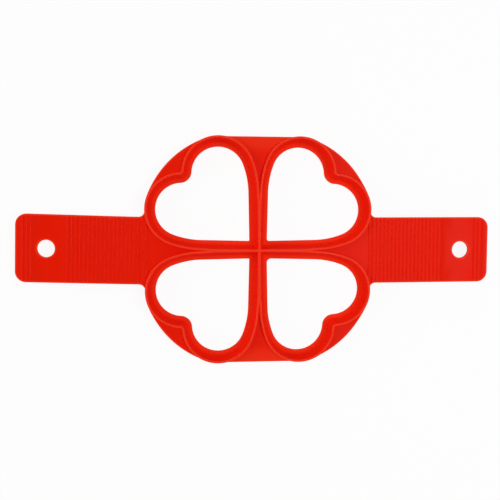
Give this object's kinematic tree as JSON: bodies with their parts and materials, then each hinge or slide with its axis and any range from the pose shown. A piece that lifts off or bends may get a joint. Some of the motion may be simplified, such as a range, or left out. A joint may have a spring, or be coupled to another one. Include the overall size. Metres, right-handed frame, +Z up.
{
  "type": "egg pancake mould",
  "caption": "Flexible silicone egg and pancake mould: open heart-shaped cups in a clover, joined by a thin web, with a ribbed handle and hanging hole on each side.",
  "frame": {"origin": "under the middle of the clover, on the plane of the pan that the cups stand on", "axes": "+X along the handles to the right one, +Y to the back, +Z up out of the pan"},
  "size_m": [0.38, 0.1814, 0.013],
  "materials": {
    "red_silicone": "soft satin moulded silicone"
  },
  "bodies": {
    "clover": {"heart_cup_front_left": "red_silicone", "heart_cup_front_right": "red_silicone", "heart_cup_back_left": "red_silicone", "heart_cup_back_right": "red_silicone", "cleft_web_front_left": "red_silicone", "cleft_web_front_right": "red_silicone", "cleft_web_back_left": "red_silicone", "cleft_web_back_right": "red_silicone", "lobe_web_front": "red_silicone", "lobe_web_back": "red_silicone", "handle_root_left": "red_silicone", "handle_root_right": "red_silicone"},
    "left_handle": {"handle_strap_left": "red_silicone", "hanging_tab_left": "red_silicone"},
    "right_handle": {"handle_strap_right": "red_silicone", "hanging_tab_right": "red_silicone"}
  },
  "joints": [
    {"name": "left_handle_flex", "type": "hinge", "parent": "clover", "child": "left_handle", "pos_m": [-0.09727, 0, 0.00925], "axis": [0, 1, 0], "range_deg": [-6, 90], "stiffness_Nm_per_rad": 0.25},
    {"name": "right_handle_flex", "type": "hinge", "parent": "clover", "child": "right_handle", "pos_m": [0.09727, 0, 0.00925], "axis": [0, -1, 0], "range_deg": [-6, 90], "stiffness_Nm_per_rad": 0.25}
  ]
}
